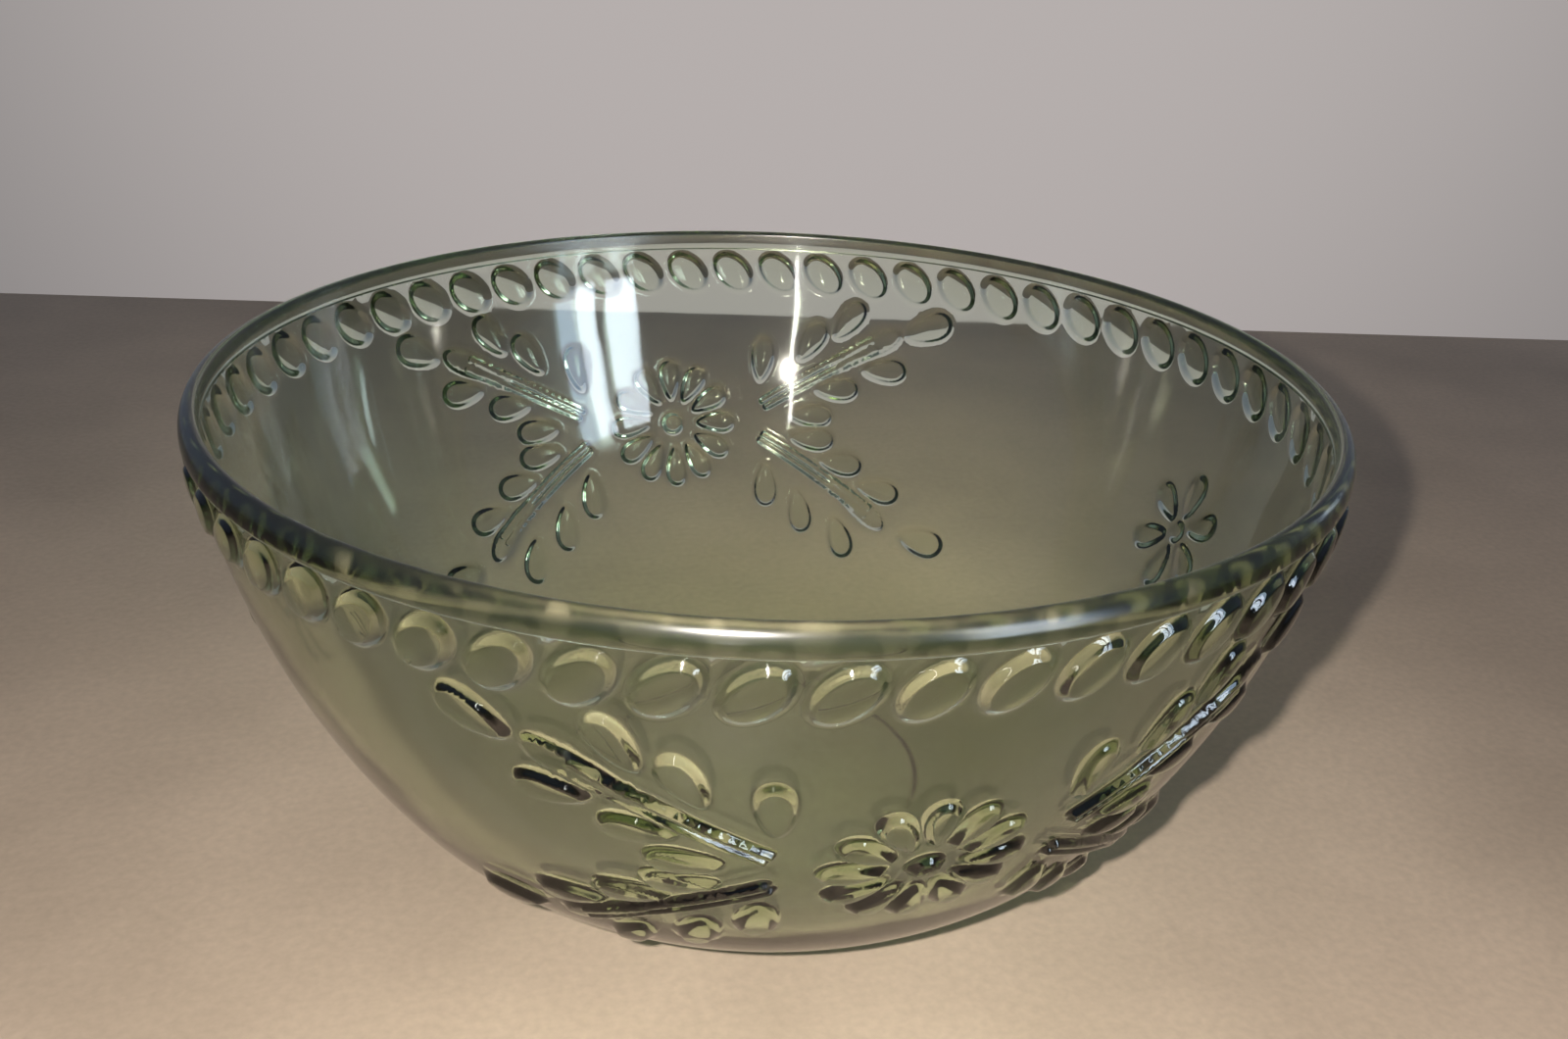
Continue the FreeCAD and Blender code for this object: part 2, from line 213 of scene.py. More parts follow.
def edge_profile(past, inside=EDGE_INSIDE, outside=EDGE_OUTSIDE):
    """1 inside a shape, falling smoothly to 0 at the end of the fillet round its outline."""
    run = np.clip((past + inside) / (inside + outside), 0, 1)
    skirt = np.clip((past - outside * 0.4) / (SKIRT_END - outside * 0.4), 0, 1)
    steep = 1 - run * run * (3 - 2 * run)
    low = 1 - skirt * skirt * (3 - 2 * skirt)
    return steep * (1 - SKIRT_SHARE) + low * SKIRT_SHARE


def ellipse_outline(angle, length, width):
    return (length / 2 * np.cos(angle), width / 2 * np.sin(angle))


def drop_outline(angle, length, width, lean=0.34):
    """A drop with its wide end at the positive end of its long axis."""
    across = width / 2 * np.sin(angle) * (1 + lean * np.cos(angle))
    return (length / 2 * np.cos(angle), across)


def leaf_outline(angle, length, width):
    """A fuller drop, with its narrow end at the stem."""
    return drop_outline(angle, length, width, 0.28)


class Dome:
    """One raised shape. facing is in radians; across and length place its middle on the wall."""

    segments = 32
    squarest = (0.3, 1.0)

    def __init__(self, facing, across, length, tilt, shape, outline):
        self.radius = OUTER.at(length)[0]
        self.u = facing + across / self.radius
        self.v = float(UNROLL.height(length))
        self.turn = tilt
        self.rise = shape[2]
        self.reach = max(shape[0], shape[1]) / 2 + SKIRT_END
        angles = np.linspace(0, 2 * math.pi, 721)
        x, y = outline(angles, shape[0], shape[1])
        self.table_angle = np.unwrap(np.arctan2(y, x))
        self.table_radius = np.hypot(x, y)
        run_x, run_y = np.gradient(x), np.gradient(y)
        square = (x * run_y - y * run_x) / np.hypot(run_x, run_y) / self.table_radius
        self.table_square = np.clip(square, *self.squarest)
        own = np.linspace(0, 2 * math.pi, self.segments, endpoint=False)
        self.rim = outline(own, shape[0], shape[1])

    def edge(self, x, y):
        """Reach of the outline towards each place, and how squarely it is met there."""
        angle = np.mod(np.arctan2(y, x), 2 * math.pi)
        reach = np.interp(angle, self.table_angle, self.table_radius)
        return reach, np.interp(angle, self.table_angle, self.table_square)

    def rings(self):
        """Points of the dome's rings on the unrolled sheet."""
        points = [(0.0, 0.0)]
        reach, square = self.edge(*self.rim)
        shares = [1 + past / (reach * square) for past in EDGE_RINGS]
        shares += [shares[0] * inner for inner in INNER_RINGS]
        for share in shares:
            points += list(zip(self.rim[0] * share, self.rim[1] * share))
        x, y = np.array(points).T
        u = self.u + (x * math.cos(self.turn) - y * math.sin(self.turn)) / self.radius
        v = self.v + (x * math.sin(self.turn) + y * math.cos(self.turn)) / self.radius
        return np.column_stack((u, v))

    def local(self, u, v):
        across = (u - self.u) * self.radius
        up = (v - self.v) * self.radius
        x = across * math.cos(self.turn) + up * math.sin(self.turn)
        y = -across * math.sin(self.turn) + up * math.cos(self.turn)
        return x, y

    def rise_at(self, u, v):
        """Height above the wall at these places on the unrolled sheet."""
        x, y = self.local(u, v)
        heights = np.zeros_like(x)
        near = np.hypot(x, y) < self.reach * 1.4
        reach, square = self.edge(x[near], y[near])
        share = np.hypot(x[near], y[near]) / reach
        crown = 1 - CROWN * np.minimum(share, 1.3) ** 2
        heights[near] = self.rise * crown * edge_profile((share - 1) * reach * square)
        return heights

    def covers(self, u, v, margin):
        """True where a place is inside the dome's foot or closer to it than the margin."""
        x, y = self.local(u, v)
        reach, square = self.edge(x, y)
        return (np.hypot(x, y) - reach) * square < SKIRT_END + margin


class Ridge:
    """One round ridge of a stem, wider at its outer end."""

    edge_rows = (-0.9, -0.55, -0.2, 0.15, 0.5, 1.0, 1.7)
    spacing = 2.2
    inside = 0.9
    outside = 0.7

    def __init__(self, facing, start, end, middle):
        self.start = self.place(facing, start, middle)
        self.end = self.place(facing, end, middle)
        self.rise = STEM_RISE
        self.radius = OUTER.at(middle + (start[1] + end[1]) / 2)[0]
        along = (self.end - self.start) * self.radius
        self.reach = float(np.hypot(*along))
        self.along = along / self.reach

    @staticmethod
    def place(facing, spot, middle):
        length = middle + spot[1]
        return np.array((facing + spot[0] / OUTER.at(length)[0], float(UNROLL.height(length))))

    def half_width(self, x):
        share = np.clip(x / self.reach, 0, 1)
        return (STEM_WIDTHS[0] * (1 - share) + STEM_WIDTHS[1] * share) / 2

    def local(self, u, v):
        du = (u - self.start[0]) * self.radius
        dv = (v - self.start[1]) * self.radius
        return du * self.along[0] + dv * self.along[1], dv * self.along[0] - du * self.along[1]

    def rings(self):
        count = int(self.reach / self.spacing)
        points = []
        for step in range(count + 1):
            x = self.reach * step / count
            half = float(self.half_width(x))
            points.append((x, 0.0))
            for row in self.edge_rows:
                if half + row > 0.1:
                    points += [(x, half + row), (x, -half - row)]
        for row in self.edge_rows:
            for turn in np.linspace(math.pi / 2, 3 * math.pi / 2, 11)[1:-1]:
                for end, way in ((0.0, 1), (self.reach, -1)):
                    out = float(self.half_width(end)) + row
                    if out > 0.1:
                        points.append((end + way * out * math.cos(turn), out * math.sin(turn)))
        x, y = np.array(points).T
        u = self.start[0] + (x * self.along[0] - y * self.along[1]) / self.radius
        v = self.start[1] + (x * self.along[1] + y * self.along[0]) / self.radius
        return np.column_stack((u, v))

    def past(self, x, y):
        """Distance beyond the ridge's outline, negative inside it."""
        beyond = np.maximum(np.maximum(-x, x - self.reach), 0)
        return np.hypot(beyond, y) - self.half_width(x)

    def rise_at(self, u, v):
        x, y = self.local(u, v)
        past = self.past(x, y)
        half = self.half_width(x)
        crown = 1 - CROWN * np.clip((past + half) / half, 0, 1.3) ** 2
        return self.rise * crown * edge_profile(past, self.inside, self.outside)

    def covers(self, u, v, margin):
        x, y = self.local(u, v)
        return self.past(x, y) < SKIRT_END + margin


def oval_row():
    """The leaning ovals of one half of the bowl, and the next one past each end of it."""
    length = OUTER.length_at(BOWL_HEIGHT - OVAL_DROP)
    made = []
    for number in range(-1, OVALS // 2 + 1):
        facing = SEAM + (number + 0.5) * 2 * math.pi / OVALS
        made.append(Dome(facing, 0.0, length, OVAL_LEAN, OVAL_SHAPE, ellipse_outline))
    return made


def flower_head(facing, length, petals, ring, petal_shape, button_shape):
    """A round button and the petals that circle it, widest at their outer ends."""
    made = [Dome(facing, 0.0, length, 0.0, button_shape, ellipse_outline)]
    for number in range(petals):
        turn = math.pi / 2 + number * 2 * math.pi / petals
        across = ring * math.cos(turn)
        up = length + ring * math.sin(turn)
        made.append(Dome(facing, across, up, turn, petal_shape, drop_outline))
    return made


def stem(facing, side, ends, middle):
    """Two ridges side by side, further apart at the outer end."""
    (root_across, root_up), (tip_across, tip_up) = ends
    reach = math.hypot(tip_across - root_across, tip_up - root_up)
    along = ((tip_across - root_across) / reach, (tip_up - root_up) / reach)
    normal = (-along[1], along[0])
    made = []
    for way in (1, -1):
        root, tip = way * STEM_GAPS[0] / 2, way * STEM_GAPS[1] / 2
        start = (side * (root_across + normal[0] * root), root_up + normal[1] * root)
        run = reach * RIDGE_SHARE
        end_across = root_across + along[0] * run + normal[0] * tip
        end = (side * end_across, root_up + along[1] * run + normal[1] * tip)
        made.append(Ridge(facing, start, end, middle))
    turn = math.atan2(along[1], side * along[0])
    back = STEM_END_SHAPE[0] / 2 - 1.5
    spot = (side * (tip_across - along[0] * back), middle + tip_up - along[1] * back)
    made.append(Dome(facing, *spot, turn, STEM_END_SHAPE, drop_outline))
    return made


def leaf(facing, side, place, middle, shape):
    across, up, tilt = place
    turn = math.radians(tilt)
    if side < 0:
        turn = math.pi - turn
    return Dome(facing, side * across, middle + up, turn, shape, leaf_outline)


def spray(facing, side, ends, tip_leaf, leaves, middle):
    made = stem(facing, side, ends, middle)
    made.append(leaf(facing, side, tip_leaf, middle, TIP_LEAF_SHAPE))
    made += [leaf(facing, side, place, middle, LEAF_SHAPE) for place in leaves]
    return made


def half_pattern():
    """All the raised shapes on the half of the bowl that starts at the seam."""
    made = oval_row()
    facing = math.pi / 2
    middle = OUTER.length_at(FLOWER_HEIGHT)
    made += flower_head(facing, middle, FLOWER_PETALS, FLOWER_RING, PETAL_SHAPE, BUTTON_SHAPE)
    for side in (1, -1):
        made += spray(facing, side, UPPER_STEM, UPPER_TIP_LEAF, UPPER_LEAVES, middle)
        made += spray(facing, side, LOWER_STEM, LOWER_TIP_LEAF, LOWER_LEAVES, middle)
    middle = OUTER.length_at(DAISY_HEIGHT)
    petal, button = DAISY_PETAL_SHAPE, DAISY_BUTTON_SHAPE
    made += flower_head(math.pi, middle, DAISY_PETALS, DAISY_RING, petal, button)
    return made


# --------------------------------------------------- the outer wall with its raised pattern

GRID_GAP = 0.6  # mm of plain wall between a shape and the nearest point of the plain grid
FADE = 0.9  # mm below the bead over which the raised shapes run out
SHAPE_REACH = 0.5  # radians round the bowl, more than half of the longest stem
NORMAL_STEP = 0.02  # mm either side of a point, for measuring how the surface slopes there
MERGE_SPUN = 0.0005  # mm
MERGE_JOINED = 0.000004  # metres


def sheet_points(shapes):
    """Border, rings and a plain grid between the shapes, on the unrolled half wall."""
    low, high = float(UNROLL.height(PATTERN_LOW)), float(UNROLL.height(PATTERN_HIGH))
    step = 2 * math.pi / COLUMNS
    rows = round((high - low) / step)
    columns = COLUMNS // 2
    border = [(SEAM + n * step, v) for n in range(columns + 1) for v in (low, high)]
    for row in range(1, rows):
        v = low + (high - low) * row / rows
        border += [(SEAM, v), (SEAM + math.pi, v)]
    grid = []
    for row in range(1, rows):
        shift = 0.5 * (row % 2)
        v = low + (high - low) * row / rows
        grid += [(SEAM + (n + shift) * step, v) for n in range(1, columns)]
    grid = np.array(grid)
    taken = np.zeros(len(grid), dtype=bool)
    for shape in shapes:
        taken |= shape.covers(grid[:, 0], grid[:, 1], GRID_GAP)
    rings = np.vstack([shape.rings() for shape in shapes])
    gap = step * 0.12
    inside = (rings[:, 0] > SEAM + gap) & (rings[:, 0] < SEAM + math.pi - gap)
    inside &= (rings[:, 1] > low + gap) & (rings[:, 1] < high - gap)
    return np.vstack([np.array(border), grid[~taken], rings[inside]])


def rise_of(shapes, u, v):
    """Height above the wall, run out to nothing just below the rim bead."""
    heights = np.zeros_like(u)
    below = np.clip((UNROLL.height(PATTERN_HIGH) - v) * WALL_TOP[0] / FADE, 0, 1)
    for shape in shapes:
        near = abs(u - shape_middle(shape)) < SHAPE_REACH
        heights[near] += shape.rise_at(u[near], v[near]) ** BLEND
    return heights ** (1 / BLEND) * below * below * (3 - 2 * below)


def shape_middle(shape):
    return shape.u if isinstance(shape, Dome) else (shape.start[0] + shape.end[0]) / 2


def on_wall(u, v, heights):
    """Places in space of points on the sheet, and the wall's directions there."""
    lengths = UNROLL.length(v)
    spots = np.array([OUTER.at(s) for s in lengths])
    radius, height, slope = spots.T
    zero = np.zeros_like(u)
    outward = np.column_stack((np.cos(u) * np.sin(slope), np.sin(u) * np.sin(slope), -np.cos(slope)))
    along = np.column_stack((-np.sin(u), np.cos(u), zero))
    upward = np.column_stack((np.cos(u) * np.cos(slope), np.sin(u) * np.cos(slope), np.sin(slope)))
    base = np.column_stack((np.cos(u) * radius, np.sin(u) * radius, height))
    return base + outward * heights[:, None], along, upward, outward, radius


def pattern_normals(shapes, u, v, along, upward, outward, radius):
    """Exact directions square to the raised surface."""
    du = NORMAL_STEP / radius
    across = (rise_of(shapes, u + du, v) - rise_of(shapes, u - du, v)) / (2 * NORMAL_STEP)
    climb = (rise_of(shapes, u, v + du) - rise_of(shapes, u, v - du)) / (2 * NORMAL_STEP)
    normals = outward - along * across[:, None] - upward * climb[:, None]
    return normals / np.linalg.norm(normals, axis=1)[:, None]


def pattern_half(name):
    """One half of the outer wall as a mesh, with its normals kept on the points."""
    shapes = half_pattern()
    points = sheet_points(shapes)
    flat = [Vector((float(a), float(b))) for a, b in points]
    made = delaunay_2d_cdt(flat, [], [], 0, 1e-7)
    places = np.array([tuple(p) for p in made[0]])
    u, v = places[:, 0], places[:, 1]
    heights = rise_of(shapes, u, v)
    spots, along, upward, outward, radius = on_wall(u, v, heights)
    normals = pattern_normals(shapes, u, v, along, upward, outward, radius)
    mesh = bpy.data.meshes.new(name)
    mesh.from_pydata([tuple(p) for p in spots * MM], [], [tuple(f) for f in made[2]])
    kept = mesh.attributes.new("true_normal", "FLOAT_VECTOR", "POINT")
    kept.data.foreach_set("vector", normals.astype(np.float32).ravel())
    half = bpy.data.objects.new(name, mesh)
    bpy.context.collection.objects.link(half)
    return half


# -------------------------------------------------------------------- the turned surfaces


def arc_points(centre, radius, start, end, count):
    """Points on an arc in the plane of radius and height, without its first point."""
    turns = [start + (end - start) * n / count for n in range(1, count + 1)]
    return [(centre[0] + radius * math.cos(t), centre[1] + radius * math.sin(t)) for t in turns]


def wall_points(curve, low, high, count):
    lengths = [low + (high - low) * n / count for n in range(count + 1)]
    return [curve.at(s)[:2] for s in lengths]


def rim_outline():
    """From the top of the outer wall over the bead and the rim, then down inside to the floor."""
    quarter = math.pi / 2
    leaning = (BOWL_HEIGHT - RIM_ROUND - INNER_TOP[1]) / math.tan(RIM_SLOPE)
    mouth = INNER_TOP[0] + leaning
    crest = mouth + RIM_ROUND
    bead = RIM_RADIUS - BEAD_ROUND
    swell = WALL_TOP[1] + BEAD_ROUND
    top = BOWL_HEIGHT - RIM_ROUND
    points = [WALL_TOP]
    points += [(WALL_TOP[0] + 0.1, WALL_TOP[1])]
    points += arc_points((bead, swell), BEAD_ROUND, -quarter, 0, 5)
    for turn in np.linspace(0, quarter, 13)[1:]:
        across = (RIM_RADIUS - crest) * math.cos(turn)
        points += [(crest + across, swell + (BOWL_HEIGHT - swell) * math.sin(turn))]
    points += arc_points((crest, top), RIM_ROUND, quarter, 2 * quarter, 6)
    low = INNER.length_at(BASE_THICKNESS + 1e-9)
    high = INNER.length_at(INNER_TOP[1])
    points += wall_points(INNER, high, low, 30)
    points += [(r, BASE_THICKNESS) for r in (34.0, 24.0, 14.0, 6.0, 0.0)]
    return points


def foot_outline():
    """From the middle of the underside out to the foot and up to where the pattern starts."""
    land = FOOT_RADIUS - FOOT_LAND
    points = [(0.0, FOOT_RECESS), (6.0, FOOT_RECESS), (18.0, FOOT_RECESS), (30.0, FOOT_RECESS)]
    points += [(land - FOOT_RECESS - 0.5, FOOT_RECESS), (land - FOOT_RECESS, FOOT_RECESS - 0.06)]
    points += [(land - 0.3, 0.12), (land, 0.0), (land + 0.4, 0.0)]
    points += [(FOOT_RADIUS - 0.6, 0.0), (FOOT_RADIUS - 0.2, 0.0)]
    low = OUTER.length_at(0.0)
    points += wall_points(OUTER, low, PATTERN_LOW, 10)
    return points


def turned(name, outline):
    """Draws an outline by extruding one point along it, then spins it round the bowl's axis."""
    bpy.ops.object.select_all(action="DESELECT")
    bpy.ops.mesh.primitive_plane_add(size=1, enter_editmode=True)
    bpy.ops.mesh.select_all(action="SELECT")
    bpy.ops.mesh.merge(type="CENTER")
    here = outline[0]
    bpy.ops.transform.translate(value=(here[0], 0, here[1]))
    for point in outline[1:]:
        move = (point[0] - here[0], 0, point[1] - here[1])
        bpy.ops.mesh.extrude_region_move(TRANSFORM_OT_translate={"value": move})
        here = point
    bpy.ops.mesh.select_all(action="SELECT")
    bpy.ops.mesh.spin(steps=COLUMNS, angle=2 * math.pi, center=(0, 0, 0), axis=(0, 0, 1))
    bpy.ops.mesh.select_all(action="SELECT")
    bpy.ops.mesh.remove_doubles(threshold=MERGE_SPUN)
    bpy.ops.transform.resize(value=(MM, MM, MM), center_override=(0, 0, 0))
    bpy.ops.object.mode_set(mode="OBJECT")
    made = bpy.context.active_object
    made.name = name
    return made


def join_all(parts, name):
    bpy.ops.object.select_all(action="DESELECT")
    for part in parts:
        part.select_set(True)
    bpy.context.view_layer.objects.active = parts[0]
    bpy.ops.object.join()
    whole = bpy.context.active_object
    whole.name = name
    bpy.ops.object.mode_set(mode="EDIT")
    bpy.ops.mesh.select_all(action="SELECT")
    bpy.ops.mesh.remove_doubles(threshold=MERGE_JOINED)
    bpy.ops.mesh.normals_make_consistent(inside=False)
    bpy.ops.object.mode_set(mode="OBJECT")
    return whole


def turn_half(part):
    """A copy of a half wall, turned to make the other half, with its kept normals turned too."""
    other = part.copy()
    other.data = part.data.copy()
    bpy.context.collection.objects.link(other)
    other.data.transform(Matrix.Rotation(math.pi, 4, "Z"))
    kept = other.data.attributes["true_normal"]
    values = np.zeros(len(kept.data) * 3, dtype=np.float32)
    kept.data.foreach_get("vector", values)
    values = values.reshape(-1, 3) * np.array((-1, -1, 1), dtype=np.float32)
    kept.data.foreach_set("vector", values.ravel())
    return other


def set_true_normals(whole):
    """Smooth shading, with the pattern's exact normals where they were kept."""
    mesh = whole.data
    bpy.ops.object.shade_smooth()
    kept = mesh.attributes["true_normal"]
    values = np.zeros(len(mesh.vertices) * 3, dtype=np.float32)
    kept.data.foreach_get("vector", values)
    values = values.reshape(-1, 3)
    own = np.zeros(len(mesh.vertices) * 3, dtype=np.float32)
    mesh.vertices.foreach_get("normal", own)
    own = own.reshape(-1, 3)
    size = np.linalg.norm(values, axis=1)
    clear = size > 0.5
    agree = (values * own).sum(axis=1) > 0.3
    use = clear & agree
    normals = np.where(use[:, None], values / np.maximum(size, 1e-6)[:, None], own)
    print("normals kept", int(use.sum()), "of", int(clear.sum()), "points", len(mesh.vertices))
    mesh.normals_split_custom_set_from_vertices([tuple(n) for n in normals])
    mesh.attributes.remove(mesh.attributes["true_normal"])


def make_bowl():
    first = pattern_half("wall_half")
    second = turn_half(first)
    rim = turned("rim_and_inside", rim_outline())
    foot = turned("foot", foot_outline())
    bowl = join_all([first, second, rim, foot], "bowl_glass")
    set_true_normals(bowl)
    print("bowl faces", len(bowl.data.polygons), "points", len(bowl.data.vertices))
    return bowl


# ------------------------------------------------------------------------- node helpers


def new_material(name):
    material = bpy.data.materials.new(name)
    material.use_nodes = True
    material.node_tree.nodes.clear()
    return material, material.node_tree


def add_node(tree, kind, **values):
    """Adds a shader node and sets sockets by name, written with _ for a space."""
    node = tree.nodes.new("ShaderNode" + kind)
    for name, value in values.items():
        node.inputs[name.replace("_", " ")].default_value = value
    return node


def add_noise(tree, place, scale, detail):
    """A noise pattern on the piece's own coordinates."""
    noise = add_node(tree, "TexNoise", Scale=scale, Detail=detail)
    tree.links.new(place.outputs["Object"], noise.inputs["Vector"])
    return noise.outputs["Fac"]


def add_range(tree, value, start, end, smooth=False):
    """Carries a number from one range, as a pair, to another, and holds it there."""
    spread = add_node(tree, "MapRange", From_Min=start[0], From_Max=start[1])
    spread.inputs["To Min"].default_value = end[0]
    spread.inputs["To Max"].default_value = end[1]
    if smooth:
        spread.interpolation_type = "SMOOTHSTEP"
    tree.links.new(value, spread.inputs["Value"])
    return spread.outputs["Result"]


def add_math(tree, operation, first, second):
    """Works out one number from two."""
    both = add_node(tree, "Math")
    both.operation = operation
    tree.links.new(first, both.inputs[0])
    tree.links.new(second, both.inputs[1])
    return both.outputs["Value"]


def add_dot(tree, place, direction):
    """How far each place or direction points along the one given."""
    along = add_node(tree, "VectorMath")
    along.operation = "DOT_PRODUCT"
    along.inputs[1].default_value = direction
    tree.links.new(place, along.inputs[0])
    return along.outputs["Value"]


def add_ramp(tree, value, stops):
    """Colours at the given positions, blended between them."""
    ramp = add_node(tree, "ValToRGB")
    elements = ramp.color_ramp.elements
    elements[0].position, elements[0].color = stops[0][0], (*stops[0][1], 1)
    elements[1].position, elements[1].color = stops[-1][0], (*stops[-1][1], 1)
    for position, colour in stops[1:-1]:
        elements.new(position).color = (*colour, 1)
    tree.links.new(value, ramp.inputs["Fac"])
    return ramp.outputs["Color"]


def add_blend(tree, factor, first, second):
    """The first colour where the factor is 0 and the second where it is 1."""
    blend = add_node(tree, "Mix")
    blend.data_type = "RGBA"
    tree.links.new(factor, blend.inputs["Factor"])
    tree.links.new(first, blend.inputs[6])
    tree.links.new(second, blend.inputs[7])
    return blend.outputs[2]


# ---------------------------------------------------------------------------- materials

GLASS_BASE = (0.985, 1.0, 0.985, 1)
GLASS_IOR = 1.52
GLASS_TINT = (0.30, 0.45, 0.06, 1)
GLASS_DENSITY = 80.0
SHEEN = (0.03, 0.08)  # roughness of the wall, from its clearest to its most smudged
RIM_SHEEN = 0.24  # a softer gloss on the rim, which spreads the lamp's light along it
RIM_SHEEN_HEIGHTS = (0.1115, 0.1135)  # metres, where the rim's gloss begins and is full
LIGHT_PASSED = (  # by how edge-on each surface is met, for light that crosses it
    (0.0, (0.86, 0.87, 0.86)),
    (0.5, (0.50, 0.51, 0.50)),
    (0.85, (0.0, 0.0, 0.0)),
)
STONE_COLOURS = ((0.3, (0.40, 0.32, 0.248)), (0.7, (0.56, 0.45, 0.352)))
PAINTED_LIGHT_DIRECTION = (0.5, -0.86, 0.0)  # painted light and shade: the counter's colour is made paler in this direction and darker against it, for how the light falls across it
PAINTED_LIGHT_REACH = (-0.4, 0.27)  # metres along it
PAINTED_LIGHT_SHARES = (0.9, 1.32)  # of its colour, at each end of that reach
STONE_SPECK = (0.86, 1.14)


def glass_gloss(tree, place, glass):
    """Smudged gloss on the wall, softer on the rim."""
    smudge = add_noise(tree, place, 22.0, 4.0)
    wall = add_range(tree, smudge, (0.35, 0.8), SHEEN)
    height = add_node(tree, "SeparateXYZ")
    tree.links.new(place.outputs["Object"], height.inputs["Vector"])
    rim = add_range(tree, height.outputs["Z"], RIM_SHEEN_HEIGHTS, (0.0, RIM_SHEEN))
    gloss = add_math(tree, "MAXIMUM", wall, rim)
    tree.links.new(gloss, glass.inputs["Roughness"])


def glass_ripple(tree, place, glass):
    """The slight waviness that pressing leaves."""
    bump = add_node(tree, "Bump", Strength=0.25, Distance=0.0006)
    tree.links.new(add_noise(tree, place, 38.0, 1.0), bump.inputs["Height"])
    tree.links.new(bump.outputs["Normal"], glass.inputs["Normal"])


def glass_for_lamps(tree, glass):
    """Lets a lamp's light through, less of it where a surface is met edge-on."""
    facing = add_node(tree, "LayerWeight", Blend=0.5)
    clear = add_node(tree, "BsdfTransparent")
    passing = add_ramp(tree, facing.outputs["Facing"], LIGHT_PASSED)
    tree.links.new(passing, clear.inputs["Color"])
    path = add_node(tree, "LightPath")
    mix = add_node(tree, "MixShader")
    tree.links.new(path.outputs["Is Shadow Ray"], mix.inputs["Fac"])
    tree.links.new(glass.outputs["BSDF"], mix.inputs[1])
    tree.links.new(clear.outputs["BSDF"], mix.inputs[2])
    return mix.outputs["Shader"]


def glass_material():
    """Pale smoke-green pressed glass, darker where it is seen through more of it."""
    material, tree = new_material("green_pressed_glass")
    out = add_node(tree, "OutputMaterial")
    glass = add_node(tree, "BsdfPrincipled", Base_Color=GLASS_BASE, IOR=GLASS_IOR)
    glass.inputs["Transmission Weight"].default_value = 1.0
    place = add_node(tree, "TexCoord")
    glass_gloss(tree, place, glass)
    glass_ripple(tree, place, glass)
    tint = add_node(tree, "VolumeAbsorption", Color=GLASS_TINT, Density=GLASS_DENSITY)
    tree.links.new(glass_for_lamps(tree, glass), out.inputs["Surface"])
    tree.links.new(tint.outputs["Volume"], out.inputs["Volume"])
    return material


def floor_material():
    """A warm-grey stone counter, mottled and finely speckled, with painted light and shade: its
    colour is paler towards one side and darker towards the other.
    """
    material, tree = new_material("stone_counter")
    out = add_node(tree, "OutputMaterial")
    stone = add_node(tree, "BsdfPrincipled", Roughness=0.45, Specular_IOR_Level=0.3)
    place = add_node(tree, "TexCoord")
    colours = add_ramp(tree, add_noise(tree, place, 9.0, 8.0), STONE_COLOURS)
    along = add_dot(tree, place.outputs["Object"], PAINTED_LIGHT_DIRECTION)
    # Painted light and shade: the colour is scaled paler towards one side of the counter and darker
    # towards the other.
    painted_light = add_range(tree, along, PAINTED_LIGHT_REACH, PAINTED_LIGHT_SHARES)
    speck = add_range(tree, add_noise(tree, place, 420.0, 2.0), (0.0, 1.0), STONE_SPECK)
    # The painted light and shade is multiplied with the fine specks, which are the stone's own.
    share = add_math(tree, "MULTIPLY", painted_light, speck)
    scaled = add_node(tree, "VectorMath")
    scaled.operation = "SCALE"
    tree.links.new(colours, scaled.inputs[0])
    tree.links.new(share, scaled.inputs["Scale"])
    tree.links.new(scaled.outputs["Vector"], stone.inputs["Base Color"])
    tree.links.new(stone.outputs["BSDF"], out.inputs["Surface"])
    return material


# --------------------------------------------------------------- camera, floor and lights

CAMERA_PLACE = (-0.0892, -0.31524, 0.22423)
CAMERA_FORWARD = (0.25918, 0.87289, -0.41337)
CAMERA_RIGHT = (0.9628, -0.2672, 0.0395)
LAMP_PLACE = (-0.1125, -0.3045, 0.2323)
FLOOR_HEADING = 76.1  # degrees, square to the counter's far edge
FLOOR_FAR = 0.426
FLOOR_NEAR = 1.6
FLOOR_SIDE = 1.8
FLOOR_DROP = 0.0001  # keeps the counter just clear of the foot
WINDOW_DISTANCE = 2.0
# Name, heading and elevation in degrees, width and height in metres, watts, colour.
WINDOWS = (
    ("window_outer", -51.5, 12, (0.17, 1.1), 4, (0.58, 0.76, 1.0)),
    ("window_middle", -56.8, 12, (0.17, 1.1), 9, (0.76, 0.87, 1.0)),
    ("window_inner", -66.0, 12, (0.28, 1.1), 14, (0.76, 0.87, 1.0)),
    ("door_gap", -111, 14, (0.03, 1.1), 3, (1.0, 0.98, 0.95)),
    ("far_window", 12, 5, (0.07, 0.3), 0.6, (0.7, 0.85, 1.0)),
)


def add_camera():
    data = bpy.data.cameras.new("camera")
    data.lens = 33.75
    data.sensor_width = 36.0
    data.clip_start = 0.01
    data.clip_end = 50.0
    camera = bpy.data.objects.new("camera", data)
    bpy.context.collection.objects.link(camera)
    camera.location = CAMERA_PLACE
    forward = Vector(CAMERA_FORWARD).normalized()
    right = Vector(CAMERA_RIGHT)
    right = (right - forward * right.dot(forward)).normalized()
    upward = right.cross(forward)
    axes = Matrix((right, upward, -forward)).transposed()
    camera.rotation_mode = "QUATERNION"
    camera.rotation_quaternion = axes.to_quaternion()
    bpy.context.scene.camera = camera


